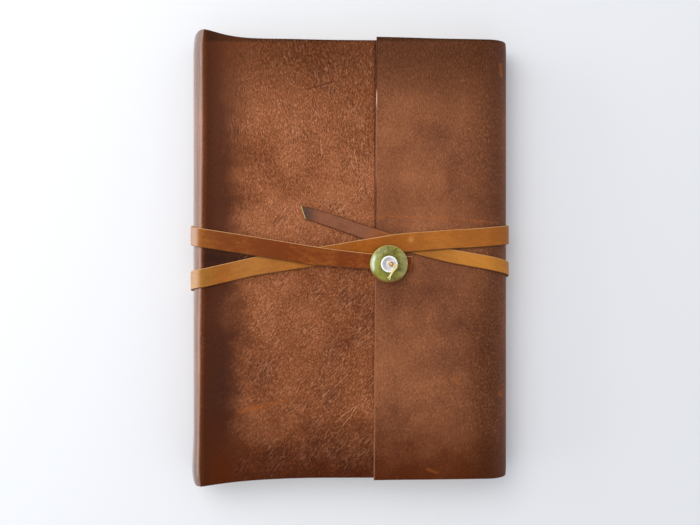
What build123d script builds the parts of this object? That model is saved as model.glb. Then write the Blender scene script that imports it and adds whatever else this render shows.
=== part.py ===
import os
from math import acos, ceil, cos, degrees, hypot, pi, radians, sin, sqrt, tan

from build123d import *

# Album lying on its back cover: +X from spine to fore-edge fold, +Y up the page, +Z up.
# The origin is under the middle of the album, on the surface that it lies on.

# Leather cover, one hide folded round the pages
leather_thickness = 2.0
cover_width = 224.8
panel_height = 308.2
fold_height = 307.8
flap_height = 310.8
flap_reach = 94.5
flap_taper_length = 62.0
lay_gap = 0.1

# Spine of the cover, which stands proud of the front panel and flares at head and tail
spine_height = 319.8
spine_corner_radius = 9.0
spine_flare_length = 45.0
spine_flat_length = 2.2
spine_reach = 11.2
crest_inside_radius = 1.1
ridge_rise = 2.3
ridge_slope = 3.6
spine_lean = 35.0

# Pages and what glues them to the cover
page_height = 297.0
page_stack = 26.0
section_count = 12
section_gap = 0.1
lining_thickness = 0.4
page_past_bend = 0.35
panel_past_bend = 0.55

# Strap, one strip wound twice round the album
strap_thickness = 1.8
strap_width = 13.3
strap_waist_width = 10.9
strap_tail_width = 9.8
strap_tail_length = 50.6
strap_tip_skew = 3.2
strap_end_past_button = 3.6
strap_step_length = 13.0
strap_turn_step_angle = 9.0

# Button stack that anchors the strap
button_from_flap_edge = 9.5
button_y = -3.9
ceramic_radius = 13.25
ceramic_thickness = 4.4
ceramic_dome_radius = 42.0
ceramic_edge_radius = 1.5
ceramic_table_margin = 0.5
ceramic_bore_margin = 0.45
shell_radius = 5.8
shell_rim_height = 1.9
shell_rim_width = 1.1
shell_floor = 0.9
shell_boss_radius = 2.4
shell_boss_height = 1.1
bead_radius = 1.65
bead_offset = 1.3
bead_turn = -35.0
thread_radius = 0.42
thread_clearance = 0.14
thread_tip_margin = 3.0
seat_gap = 0.05

# Levels, from the surface under the album upwards
back_out = strap_thickness + lay_gap
back_in = back_out + leather_thickness
pages_bottom = back_in + lining_thickness
pages_top = pages_bottom + page_stack
front_out = pages_top + lining_thickness + leather_thickness
flap_out = front_out + lay_gap + leather_thickness
ridge_top = front_out + ridge_rise

# Fore-edge fold, a half round
fold_radius = (flap_out - back_out) / 2
fold_x = cover_width / 2 - fold_radius
fold_z = back_out + fold_radius
flap_edge_x = cover_width / 2 - flap_reach
panel_edge_x = fold_x + panel_past_bend
page_edge_x = fold_x + page_past_bend

outline_margin = leather_thickness / 2

# Spine, three arcs: a small crest, a long round and a foot
lean = radians(spine_lean)
slope = radians(ridge_slope)
crest_radius = crest_inside_radius + lining_thickness + leather_thickness
crest_x = spine_reach - cover_width / 2
crest_z = ridge_top - crest_radius
round_radius = (spine_reach - crest_radius * sin(lean)) / (1 - sin(lean))
round_x = crest_x + (round_radius - crest_radius) * sin(lean)
round_z = crest_z - (round_radius - crest_radius) * cos(lean)
foot_radius = round_z - back_out
foot_x = foot_radius - cover_width / 2

# Where the strap lies: its underside on the panel, on the flap and on the crest
on_panel = front_out + lay_gap
on_flap = flap_out + lay_gap
on_crest = ridge_top + lay_gap
strap_layer = strap_thickness + lay_gap

# Button stack
button_x = flap_edge_x + button_from_flap_edge
ceramic_bottom = on_flap + 2 * strap_layer + 4 * lay_gap
ceramic_top = ceramic_bottom + ceramic_thickness
shell_bottom = ceramic_top + seat_gap
bead_x = button_x + bead_offset
bead_z = shell_bottom + shell_boss_height + seat_gap + bead_radius
bead_axis = Vector(1, 0, 0).rotate(Axis.Z, bead_turn)
shank_start = bead_axis * -(bead_radius + 2 * thread_radius)
shank_x = bead_x + shank_start.X
shank_y = button_y + shank_start.Y
thread_hole_radius = thread_radius + thread_clearance
ceramic_bore_radius = hypot(shank_x - button_x, shank_y - button_y) + thread_radius + ceramic_bore_margin
ceramic_table_radius = shell_radius + ceramic_table_margin
ceramic_edge_x = ceramic_radius - ceramic_edge_radius
ceramic_dome_z = ceramic_top - sqrt(ceramic_dome_radius**2 - ceramic_table_radius**2)
ceramic_edge_z = ceramic_dome_z + sqrt((ceramic_dome_radius - ceramic_edge_radius) ** 2 - ceramic_edge_x**2)
dome_from = degrees(acos(ceramic_edge_x / (ceramic_dome_radius - ceramic_edge_radius)))
dome_to = degrees(acos(ceramic_table_radius / ceramic_dome_radius))


def slope_top(inset):
    """Point where the front panel's slope meets the crest."""
    radius = crest_radius - inset
    return (crest_x + radius * sin(slope), crest_z + radius * cos(slope))


def slope_foot_x(inset):
    """Where the slope down from the crest meets the flat of the front panel."""
    x, z = slope_top(inset)
    return x + (z - front_out + inset) / tan(slope)


def front_path(inset):
    """Front panel, from its free edge to the top of the crest."""
    level = front_out - inset
    panel = Polyline((panel_edge_x, level), (slope_foot_x(inset), level), slope_top(inset))
    crest = CenterArc((crest_x, crest_z), crest_radius - inset, 90 - ridge_slope, ridge_slope)
    return Wire([*panel.edges(), crest])


def spine_path(inset):
    """Round the spine, from the top of the crest to the back panel."""
    crest = CenterArc((crest_x, crest_z), crest_radius - inset, 90, spine_lean)
    back = CenterArc((round_x, round_z), round_radius - inset, 90 + spine_lean, 90 - spine_lean)
    foot = CenterArc((foot_x, round_z), foot_radius - inset, 180, 90)
    return Wire([crest, back, foot])


def back_path(inset):
    """Back panel, from the spine to the fore-edge fold."""
    level = back_out + inset
    return Wire([Line((foot_x, level), (fold_x, level))])


def fold_path(inset):
    """Round the fore-edge fold, from the back panel up to the flap."""
    return Wire([CenterArc((fold_x, fold_z), fold_radius - inset, 270, 180)])


def flap_path(inset):
    """Flap, from the fore-edge fold to its free edge."""
    level = flap_out - inset
    return Wire([Line((fold_x, level), (flap_edge_x, level))])


def layer(paths, outside, inside):
    """Section of a layer that follows the cover, between two depths below its outer face."""
    outer = [edge for path in paths for edge in path(outside).edges()]
    inner = [edge for path in paths for edge in path(inside).edges()]
    caps = [
        Line(paths[0](outside) @ 0, paths[0](inside) @ 0),
        Line(paths[-1](outside) @ 1, paths[-1](inside) @ 1),
    ]
    return Plane.XZ * make_face([*outer, *inner, *caps])


def along_y(section, length):
    return extrude(section, amount=length / 2, both=True)


def both_ends(curve_points, close_left, close_right):
    """Face in plan from its upper outline, mirrored about the X axis."""
    upper = Wire([edge for part in curve_points for edge in part.edges()])
    lower = mirror(upper, Plane.XZ)
    left = Line((close_left, -(upper @ 1).Y), (close_left, (upper @ 1).Y))
    right = Line((close_right, -(upper @ 0).Y), (close_right, (upper @ 0).Y))
    return make_face([*upper.edges(), *lower.edges(), left, right])


def panel_outline():
    """Front panel, spine and back panel in plan, wider at the spine's head and tail."""
    right = cover_width / 2 + outline_margin
    left = -cover_width / 2 - outline_margin
    taper_x = flap_edge_x + flap_taper_length
    flare_start = (crest_x + spine_flare_length, panel_height / 2)
    flare_end = (crest_x + spine_flat_length, spine_height / 2)
    corner_x = left + spine_corner_radius
    edge = Polyline((right, fold_height / 2), (taper_x, fold_height / 2), flare_start)
    flare = Spline(flare_start, flare_end, tangents=[(-1, 0), (-1, 0)])
    flat = Line(flare_end, (corner_x, spine_height / 2))
    corner = CenterArc((corner_x, spine_height / 2 - spine_corner_radius), spine_corner_radius, 90, 90)
    return both_ends([edge, flare, flat, corner], left, right)


def flap_outline():
    """Fold and flap in plan, a little wider at the flap's free edge."""
    right = cover_width / 2 + outline_margin
    edge = Polyline(
        (right, fold_height / 2),
        (flap_edge_x + flap_taper_length, fold_height / 2),
        (flap_edge_x, flap_height / 2),
    )
    return both_ends([edge], flap_edge_x, right)


def leather_cover():
    panels = along_y(layer([front_path, spine_path, back_path], 0, leather_thickness), spine_height)
    wrap = along_y(layer([fold_path, flap_path], 0, leather_thickness), spine_height)
    panels &= extrude(panel_outline(), amount=ridge_top + strap_layer)
    wrap &= extrude(flap_outline(), amount=ridge_top + strap_layer)
    shank_hole = Pos(shank_x, shank_y, flap_out) * Cylinder(thread_hole_radius, 3 * leather_thickness)
    return panels + (wrap - shank_hole)


def front_endpaper():
    return along_y(layer([front_path], leather_thickness, leather_thickness + lining_thickness), page_height)


def spine_lining():
    return along_y(layer([spine_path], leather_thickness, leather_thickness + lining_thickness), page_height)


def back_endpaper():
    return along_y(layer([back_path], leather_thickness, leather_thickness + lining_thickness), page_height)


def section_fold_x(height, nose):
    """Where a folded section's round back has its centre, so that it lies against the lining."""
    depth = leather_thickness + lining_thickness + section_gap + nose
    centre_x, radius = (round_x, round_radius) if height > round_z else (foot_x, foot_radius)
    reach = max(0.0, (radius - depth) ** 2 - (height - round_z) ** 2)
    return centre_x - reach**0.5


def page_block():
    """Folded sections sewn into one block, swelled at the spine and cut square at the fore-edge."""
    spine_top = ridge_top - leather_thickness - lining_thickness - section_gap / 2
    pitch = (spine_top - pages_bottom) / section_count
    nose = pitch / 2
    outline = []
    corner = (page_edge_x, pages_bottom)
    for index in range(section_count):
        low = pages_bottom + index * pitch
        back = section_fold_x(low + nose, nose)
        outline.append(Line(corner, (back, low)))
        outline.append(CenterArc((back, low + nose), nose, 270, -180))
        corner = (back, low + pitch)
    slope_end = (slope_foot_x(leather_thickness + lining_thickness), pages_top)
    outline.append(Polyline(corner, slope_end, (page_edge_x, pages_top), (page_edge_x, pages_bottom)))
    edges = [edge for part in outline for edge in part.edges()]
    return along_y(Plane.XZ * make_face(edges), page_height)


def strap_slice(x, middle, width, level, near_lift=0.0, far_lift=0.0, skew=0.0):
    """Upright cut through the strap, each edge lifted off a level by a share of a strap layer."""
    near = Vector(x + skew / 2, middle - width / 2, level + near_lift * strap_layer)
    far = Vector(x - skew / 2, middle + width / 2, level + far_lift * strap_layer)
    up = Vector(0, 0, strap_thickness)
    return make_face(Polyline(near, far, far + up, near + up, close=True))


def strap_run(slices):
    return loft([strap_slice(*cut) for cut in slices], ruled=True)


def panel_x(share):
    """Place on the front panel, from the crest at 0 to the flap's edge at 1."""
    return crest_x + share * (flap_edge_x - crest_x)


def flap_x(share):
    """Place on the flap, from its edge at 0 to the fold at 1."""
    return flap_edge_x + share * (fold_x - flap_edge_x)


def strap_turn(arcs, side, top_middle, foot_middle, width):
    """Strap round the spine (side -1) or the fold (side 1), aslant at the top and square at the back."""
    across = Vector(0, width / 2, 0)
    length = sum(radius * (end - start) for _, _, radius, start, end in arcs)
    travelled = 0
    slices = []
    for x, z, radius, start, end in arcs:
        steps = ceil((end - start) / radians(strap_turn_step_angle))
        for step in range(1 if slices else 0, steps + 1):
            angle = start + (end - start) * step / steps
            share = (travelled + radius * (angle - start)) / length
            middle = top_middle + (foot_middle - top_middle) * sin(share * pi / 2)
            outward = Vector(side * sin(angle), 0, cos(angle))
            inside = Vector(x, middle, z) + outward * (radius + lay_gap)
            outside = inside + outward * strap_thickness
            corners = [inside - across, inside + across, outside + across, outside - across]
            slices.append(make_face(Polyline(*corners, close=True)))
        travelled += radius * (end - start)
    return loft(slices, ruled=True)


def strap_underneath(left_middle, left_width, right_middle, right_width):
    corners = [
        (foot_x, left_middle - left_width / 2),
        (fold_x, right_middle - right_width / 2),
        (fold_x, right_middle + right_width / 2),
        (foot_x, left_middle + left_width / 2),
    ]
    return extrude(make_face(Polyline(*corners, close=True)), amount=strap_thickness)


# Middle of the strap in Y where it turns the spine and the fold
anchored_crest_y = 14.2
anchored_foot_y = 18.2
middle_fold_y = 15.0
middle_fold_foot_y = 18.2
middle_crest_y = -13.7
middle_foot_y = -18.0
tail_fold_foot_y = -10.2
tail_fold_y = -2.8


def anchored_run():
    """From the spine over the middle run to the sewn end under the button."""
    wide, waist = strap_width, strap_waist_width
    end_x = button_x + ceramic_radius + strap_end_past_button
    step = strap_step_length
    return strap_run(
        [
            (crest_x, anchored_crest_y, wide, on_crest),
            (panel_x(0.346), 7.6, wide, on_panel, 1, 1),
            (panel_x(0.618), 2.2, wide, on_panel, 1, 1),
            (panel_x(0.749), 0.5, (wide + waist) / 2, on_panel, 1, 1),
            (flap_edge_x - step, button_y + 2.8, waist + 0.4, on_panel, 1.3, 1.3),
            (flap_edge_x - 0.7 * step, button_y + 2.5, waist + 0.2, on_panel, 1.75, 1.75),
            (flap_edge_x - 0.23 * step, button_y + 1.9, waist, on_flap, 1.05, 1.05),
            (flap_edge_x, button_y + 1.5, waist, on_flap, 1.2, 1.2),
            (flap_x(0.045), button_y + 0.8, waist, on_flap, 1.15, 1.15),
            (button_x, button_y + 0.4, waist, on_flap, 0.4, 0.4),
            (button_x + ceramic_radius / 3, button_y + 0.2, waist, on_flap),
            (end_x, button_y, waist, on_flap),
        ]
    )


def middle_run():
    """From the fold over the tail run, under the anchored run, to the spine."""
    wide = strap_width
    step = strap_step_length
    return strap_run(
        [
            (fold_x, middle_fold_y, wide, on_flap),
            (flap_x(0.846), 14.1, wide, on_flap),
            (flap_x(0.743), 13.6, wide, on_flap, 0.5, 0),
            (flap_x(0.666), 13.2, wide, on_flap, 1.02, 0.2),
            (flap_x(0.538), 12.5, wide, on_flap, 1.15, 0.55),
            (flap_x(0.41), 11.8, wide, on_flap, 1.15, 0.9),
            (flap_x(0.308), 11.3, wide, on_flap, 1.05, 1.05),
            (flap_x(0.231), 10.8, wide, on_flap, 0.98, 1.4),
            (flap_x(0.154), 10.2, wide, on_flap, 0.7, 1.75),
            (flap_x(0.103), 9.5, wide, on_flap, 0.35, 1.8),
            (flap_x(0.045), 8.8, wide, on_flap, 0, 1.65),
            (flap_edge_x, 8.2, wide, on_flap, 0, 1.4),
            (flap_edge_x - 0.23 * step, 7.7, wide, on_panel, 0.9, 2.05),
            (flap_edge_x - 0.7 * step, 6.6, wide, on_panel, 0.35, 1.4),
            (flap_edge_x - step, 6.0, wide, on_panel, 0, 0.5),
            (panel_x(0.749), 3.0, wide, on_panel),
            (slope_foot_x(0), -5.3, wide, on_panel),
            (crest_x, middle_crest_y, wide, on_crest),
        ]
    )


def tail_run():
    """From the fold under the middle run to the strap's free end."""
    tail = strap_tail_width
    step = strap_step_length
    return strap_run(
        [
            (fold_x, tail_fold_y, tail, on_flap),
            (flap_x(0.666), 1.85, tail, on_flap),
            (flap_x(0.41), 6.7, tail, on_flap),
            (flap_x(0.154), 12.5, tail, on_flap),
            (flap_edge_x - lay_gap, 16.3, tail, on_flap),
            (flap_edge_x - step, 20.3, tail, on_panel),
            (flap_edge_x - 0.55 * strap_tail_length, 25.6, tail, on_panel),
            (flap_edge_x - 0.85 * strap_tail_length, 30.4, tail - 0.6, on_panel),
            (flap_edge_x - strap_tail_length, 32.3, tail - 0.7, on_panel, 0, 0, strap_tip_skew),
        ]
    )


def strap():
    spine_arcs = [
        (crest_x, crest_z, crest_radius, 0, lean),
        (round_x, round_z, round_radius, lean, pi / 2),
        (foot_x, round_z, foot_radius, pi / 2, pi),
    ]
    fold_arc = [(fold_x, fold_z, fold_radius, 0, pi)]
    pieces = [
        anchored_run(),
        strap_turn(spine_arcs, -1, anchored_crest_y, anchored_foot_y, strap_width),
        strap_underneath(anchored_foot_y, strap_width, middle_fold_foot_y, strap_width),
        strap_turn(fold_arc, 1, middle_fold_y, middle_fold_foot_y, strap_width),
        middle_run(),
        strap_turn(spine_arcs, -1, middle_crest_y, middle_foot_y, strap_width),
        strap_underneath(middle_foot_y, strap_width, tail_fold_foot_y, strap_tail_width),
        strap_turn(fold_arc, 1, tail_fold_y, tail_fold_foot_y, strap_tail_width),
        tail_run(),
    ]
    shank_hole = Pos(shank_x, shank_y, on_flap) * Cylinder(thread_hole_radius, 8 * strap_thickness)
    return Part() + pieces - shank_hole


def disc_level(radius):
    """Height of the glazed disc's upper face at a distance from its middle."""
    return ceramic_dome_z + sqrt(ceramic_dome_radius**2 - radius**2)


def ceramic_button():
    """Glazed disc, flat where it sits and where the shell button lies, bevelled at its rim."""
    dome = CenterArc((0, ceramic_dome_z), ceramic_dome_radius, dome_from, dome_to - dome_from)
    rim = [
        Vector(ceramic_edge_x, ceramic_edge_z) + Vector(ceramic_edge_radius, 0).rotate(Axis.Z, angle)
        for angle in (dome_from, dome_from / 2, 0)
    ]
    foot = (ceramic_radius - ceramic_edge_z + ceramic_bottom, ceramic_bottom)
    bore = [(ceramic_bore_radius, ceramic_bottom), (ceramic_bore_radius, ceramic_top)]
    flats = Polyline(*rim, foot, *bore, dome @ 1)
    section = Plane.XZ * make_face([dome, *flats.edges()])
    return Pos(button_x, button_y, 0) * revolve(section, Axis.Z)


def shell_button():
    """Dished shirt button with a low boss in the middle and two holes."""
    rim_in = shell_radius - shell_rim_width
    outline = Polyline(
        (0, 0),
        (shell_radius - shell_rim_width / 2, 0),
        (shell_radius, shell_rim_width / 2),
        (shell_radius, shell_rim_height - shell_rim_width / 3),
        (shell_radius - shell_rim_width / 3, shell_rim_height),
        (rim_in, shell_rim_height - shell_rim_width / 4),
        (rim_in - shell_rim_width / 2, shell_floor),
        (shell_boss_radius + shell_rim_width / 4, shell_floor),
        (shell_boss_radius, shell_boss_height),
        (0, shell_boss_height),
        close=True,
    )
    disc = revolve(Plane.XZ * make_face(outline), Axis.Z)
    for side in (1, -1):
        hole = Pos(side * (shank_x - button_x), side * (shank_y - button_y), 0)
        disc -= hole * Cylinder(thread_hole_radius, 4 * shell_rim_height)
    return Pos(button_x, button_y, shell_bottom) * disc


def glass_bead():
    bead = Sphere(bead_radius) - Rot(0, 90, 0) * Cylinder(thread_hole_radius, 3 * bead_radius)
    return Pos(bead_x, button_y, bead_z) * Rot(0, 0, bead_turn) * bead


def sewing_thread():
    """Up through flap, strap and buttons, through the bead, and down over the disc as a tail."""
    start = Vector(shank_x, shank_y, flap_out - leather_thickness + seat_gap)
    leave = Vector(bead_x, button_y, bead_z) + bead_axis * (bead_radius + 3 * thread_radius)
    over_rim = Vector(
        button_x + shell_radius * cos(radians(-68)),
        button_y + shell_radius * sin(radians(-68)),
        shell_bottom + shell_rim_height + 2 * thread_radius,
    )
    touch = thread_radius + 2 * seat_gap
    tip_radius = ceramic_radius - thread_tip_margin
    tip = Vector(button_x - 0.3, button_y - tip_radius, disc_level(tip_radius) + touch)
    corners = [start, Vector(shank_x, shank_y, bead_z), leave, over_rim, tip]
    path = FilletPolyline(*corners, radius=[0.8, 0.7, 0.8])
    section = Plane(origin=start, z_dir=path % 0) * Circle(thread_radius)
    return sweep(section, path=path)


pieces = {
    "leather_cover": leather_cover(),
    "front_endpaper": front_endpaper(),
    "spine_lining": spine_lining(),
    "back_endpaper": back_endpaper(),
    "page_block": page_block(),
    "strap": strap(),
    "ceramic_button": ceramic_button(),
    "shell_button": shell_button(),
    "glass_bead": glass_bead(),
    "sewing_thread": sewing_thread(),
}

os.makedirs("parts", exist_ok=True)
for name, piece in pieces.items():
    export_step(piece, f"parts/{name}.step")
    box = piece.bounding_box()
    size = f"{box.size.X:.1f} x {box.size.Y:.1f} x {box.size.Z:.1f} mm"
    print(f"{name}: {len(piece.solids())} solid, {piece.volume:.0f} mm3, {size}")
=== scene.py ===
# Leather photo album, tied shut with its strap: looks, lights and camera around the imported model
import math
import random

import bpy
from mathutils import Matrix, Vector, noise


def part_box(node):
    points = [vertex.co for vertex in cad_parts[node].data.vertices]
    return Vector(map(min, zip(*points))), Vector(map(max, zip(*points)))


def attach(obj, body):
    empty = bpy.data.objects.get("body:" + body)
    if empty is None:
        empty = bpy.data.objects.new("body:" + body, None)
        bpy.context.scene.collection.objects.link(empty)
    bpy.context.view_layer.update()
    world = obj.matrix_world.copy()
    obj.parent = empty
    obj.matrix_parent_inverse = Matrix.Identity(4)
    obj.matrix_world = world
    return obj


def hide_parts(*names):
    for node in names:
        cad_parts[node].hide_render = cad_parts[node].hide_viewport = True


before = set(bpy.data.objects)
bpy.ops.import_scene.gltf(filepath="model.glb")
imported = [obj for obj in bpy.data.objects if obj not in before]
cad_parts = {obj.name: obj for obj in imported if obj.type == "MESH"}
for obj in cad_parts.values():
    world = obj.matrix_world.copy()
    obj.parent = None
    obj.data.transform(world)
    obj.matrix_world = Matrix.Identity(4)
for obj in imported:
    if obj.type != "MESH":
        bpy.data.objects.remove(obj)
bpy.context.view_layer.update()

coverLow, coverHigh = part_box("leather_cover")
pageLow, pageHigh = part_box("page_block")
discLow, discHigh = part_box("ceramic_button")
shellLow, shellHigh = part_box("shell_button")
beadLow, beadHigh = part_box("glass_bead")
print("Packed model loaded")


# Small helpers for meshes
def deselectAll():
    if bpy.context.object and bpy.context.object.mode != "OBJECT":
        bpy.ops.object.mode_set(mode="OBJECT")
    bpy.ops.object.select_all(action="DESELECT")


def nameActive(name):
    piece = bpy.context.active_object
    piece.name = name
    piece.data.name = name
    return piece


def addObject(name, data):
    added = bpy.data.objects.new(name, data)
    bpy.context.scene.collection.objects.link(added)
    return added


def pick(*pieces):
    # selects only these pieces, the first of them active
    deselectAll()
    for piece in pieces:
        piece.select_set(True)
    bpy.context.view_layer.objects.active = pieces[0]


def finishWith(piece, kind, **settings):
    # adds a modifier and applies it
    pick(piece)
    modifier = piece.modifiers.new(kind.title(), kind)
    for setting, value in settings.items():
        setattr(modifier, setting, value)
    bpy.ops.object.modifier_apply(modifier=modifier.name)


def smoothShade(piece, degrees):
    pick(piece)
    bpy.ops.object.shade_smooth_by_angle(angle=math.radians(degrees))


def joinPieces(name, parts):
    pick(*parts)
    bpy.ops.object.join()
    return nameActive(name)


def layGrid(name, columns, rows, place):
    # a flat grid laid along a route: place gives each vertex its point and its place on the flat sheet
    deselectAll()
    bpy.ops.mesh.primitive_grid_add(x_subdivisions=columns, y_subdivisions=rows, size=1)
    piece = nameActive(name)
    mesh = piece.data
    flat = []
    for vertex in mesh.vertices:
        column = round((vertex.co.x + 0.5) * columns)
        row = round((vertex.co.y + 0.5) * rows)
        vertex.co, onFlat = place(column, row)
        flat.append(onFlat)
    layer = mesh.uv_layers.active.data
    for loop in mesh.loops:
        layer[loop.index].uv = flat[loop.vertex_index]
    return piece


def dress(piece, *materials):
    piece.data.materials.clear()
    for material in materials:
        piece.data.materials.append(material)


def thicken(piece, offset, thickness, edgeRound):
    # a laid sheet of leather gets its thickness, and a rim in its third material with rounded edges
    settings = {"offset": offset, "use_even_offset": True, "material_offset": 1, "material_offset_rim": 2}
    finishWith(piece, "SOLIDIFY", thickness=thickness, **settings)
    settings = {"segments": 2, "limit_method": "ANGLE", "angle_limit": math.radians(50), "material": 2}
    finishWith(piece, "BEVEL", width=edgeRound, **settings)
    smoothShade(piece, 40)


def standFor(piece, node):
    # the piece takes the place of a CAD node
    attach(piece, "root")
    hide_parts(node)


def blend(low, high, share):
    return low + (high - low) * share


def shareOf(value, low, high):
    # how far the value is from low to high, and no less than 0 or more than 1
    return min(1.0, max(0.0, (value - low) / (high - low)))


def ease(value, low, high):
    # 0 below low, 1 above high and smooth between
    share = shareOf(value, low, high)
    return share * share * (3 - 2 * share)


# Shader nodes: arithmetic on sockets, and one method for every other node
class Wire:
    def __init__(self, finish, socket):
        self.finish = finish
        self.socket = socket

    def math(self, operation, first, second, clamp=False):
        settings = {"operation": operation, "use_clamp": clamp}
        return self.finish.node("Math", settings, {0: first, 1: second})

    def __add__(self, other):
        return self.math("ADD", self, other)

    def __radd__(self, other):
        return self.math("ADD", other, self)

    def __sub__(self, other):
        return self.math("SUBTRACT", self, other)

    def __rsub__(self, other):
        return self.math("SUBTRACT", other, self)

    def __mul__(self, other):
        return self.math("MULTIPLY", self, other)

    def __rmul__(self, other):
        return self.math("MULTIPLY", other, self)

    def __abs__(self):
        return self.math("ABSOLUTE", self, 0)

    def clamped(self):
        return self.math("ADD", self, 0, clamp=True)


class Finish:
    def __init__(self, name):
        self.material = bpy.data.materials.new(name)
        self.material.use_nodes = True
        self.tree = self.material.node_tree
        self.tree.nodes.clear()

    def node(self, kind, settings, inputs, output=0):
        made = self.tree.nodes.new("ShaderNode" + kind)
        for setting, value in settings.items():
            if setting == "stops":
                while len(made.color_ramp.elements) < len(value):
                    made.color_ramp.elements.new(1.0)
                for element, (position, shade) in zip(made.color_ramp.elements, value):
                    element.position = position
                    element.color = shade
            else:
                setattr(made, setting, value)
        for socket, value in inputs.items():
            if isinstance(value, Wire):
                self.tree.links.new(value.socket, made.inputs[socket])
            elif value is not None:
                made.inputs[socket].default_value = value
        return Wire(self, made.outputs[output])

    def place(self):
        return self.node("TexCoord", {}, {}, "Object")

    def flat(self):
        return self.node("TexCoord", {}, {}, "UV")

    def plan(self):
        # the place seen from above, with no height
        return self.scaled(self.place(), (1, 1, 0))

    def away(self, plan, middle):
        return self.vector("DISTANCE", plan, (middle.x, middle.y, 0), "Value")

    def axes(self, vector):
        wire = self.node("SeparateXYZ", {}, {0: vector})
        return [Wire(self, output) for output in wire.socket.node.outputs]

    def vector(self, operation, first, second, output=0):
        return self.node("VectorMath", {"operation": operation}, {0: first, 1: second}, output)

    def scaled(self, vector, factors):
        return self.vector("MULTIPLY", vector, factors)

    def turned(self, vector, degrees, stretch):
        # a pattern on this is turned by the degrees, and stretched along its own second axis
        inputs = {"Vector": vector, "Rotation": (0, 0, math.radians(degrees)), "Scale": (1.0, stretch, 1.0)}
        return self.node("Mapping", {"vector_type": "TEXTURE"}, inputs)

    def cloud(self, vector, scale, detail=2.0, rough=0.5, output=0):
        inputs = {"Vector": vector, "Scale": scale, "Detail": detail, "Roughness": rough}
        return self.node("TexNoise", {}, inputs, output)

    def cells(self, vector, scale):
        inputs = {"Vector": vector, "Scale": scale, "Randomness": 1.0}
        return self.node("TexVoronoi", {"feature": "DISTANCE_TO_EDGE"}, inputs)

    def warped(self, vector, scale, reach):
        # the vector pushed about by a slow cloud, so that lines on it wander
        push = self.vector("SUBTRACT", self.cloud(vector, scale, 2.0, 0.5, 1), (0.5, 0.5, 0.5))
        return self.vector("ADD", vector, self.vector("MULTIPLY", push, (reach, reach, reach)))

    def crest(self, value, middle, halfWidth):
        # 1 where the value is at its middle, and 0 from halfWidth on either side
        return 1 - self.rise(abs(value - middle), 0.0, halfWidth)

    def rise(self, value, low, high):
        # 0 below low, 1 above high and smooth between
        settings = {"interpolation_type": "SMOOTHSTEP"}
        return self.node("MapRange", settings, {0: value, 1: low, 2: high})

    def most(self, first, second):
        return self.node("Math", {"operation": "MAXIMUM"}, {0: first, 1: second})

    def between(self, factor, low, high):
        return low + (high - low) * factor

    def ramp(self, tone, *stops):
        # shades along a tone, each stop a position and a colour
        stops = [(position, colour(*shade)) for position, shade in stops]
        return self.node("ValToRGB", {"stops": stops}, {0: tone})

    def mix(self, factor, first, second, way="MIX"):
        settings = {"data_type": "RGBA", "blend_type": way}
        return self.node("Mix", settings, {0: factor, 6: first, 7: second}, 2)

    def paint(self, base, *layers):
        # lays shades over a base one by one, each where its mask is 1
        for mask, shade in layers:
            base = self.mix(mask, base, shade if isinstance(shade, Wire) else colour(*shade))
        return base

    def streak(self, plan, start, end, halfWidth):
        # 1 on a line from start to end in plan, fading out at halfWidth beside it
        along = Vector(end) - Vector(start)
        fromStart = self.vector("SUBTRACT", plan, (*start, 0))
        share = self.vector("DOT_PRODUCT", fromStart, (*(along / along.length_squared), 0), "Value")
        nearest = self.node("VectorMath", {"operation": "SCALE"}, {0: (*along, 0), "Scale": share.clamped()})
        distance = self.vector("DISTANCE", fromStart, nearest, "Value")
        return 1 - self.rise(distance, 0.0, halfWidth)

    def streaks(self, plan, lines):
        total = 0
        for start, end, halfWidth, strength in lines:
            total = total + self.streak(plan, start, end, halfWidth) * strength
        return total

    def starScuff(self, place, middle, reach):
        # a small rubbed star with arms that fade out
        plan = self.scaled(place, (1, 1, 0))
        middle = Vector(middle)
        arms = 0
        for degrees in (8, 62, 128):
            arm = Vector((math.cos(math.radians(degrees)), math.sin(math.radians(degrees)))) * reach
            arms = arms + self.streak(plan, middle - arm, middle + arm, reach / 2)
        return arms.clamped()

    def bump(self, height, distance):
        return self.node("Bump", {}, {"Strength": 1.0, "Distance": distance, "Height": height})

    def surface(self, **inputs):
        sockets = {name.replace("_", " "): value for name, value in inputs.items()}
        shader = self.node("BsdfPrincipled", {}, sockets)
        output = self.tree.nodes.new("ShaderNodeOutputMaterial")
        self.tree.links.new(shader.socket, output.inputs["Surface"])
        return self.material


def colour(red, green, blue):
    # a colour given as 0 to 255, in the shader's own linear values
    def linear(value):
        value /= 255
        return value / 12.92 if value <= 0.04045 else ((value + 0.055) / 1.055) ** 2.4

    return (linear(red), linear(green), linear(blue), 1.0)


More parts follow.
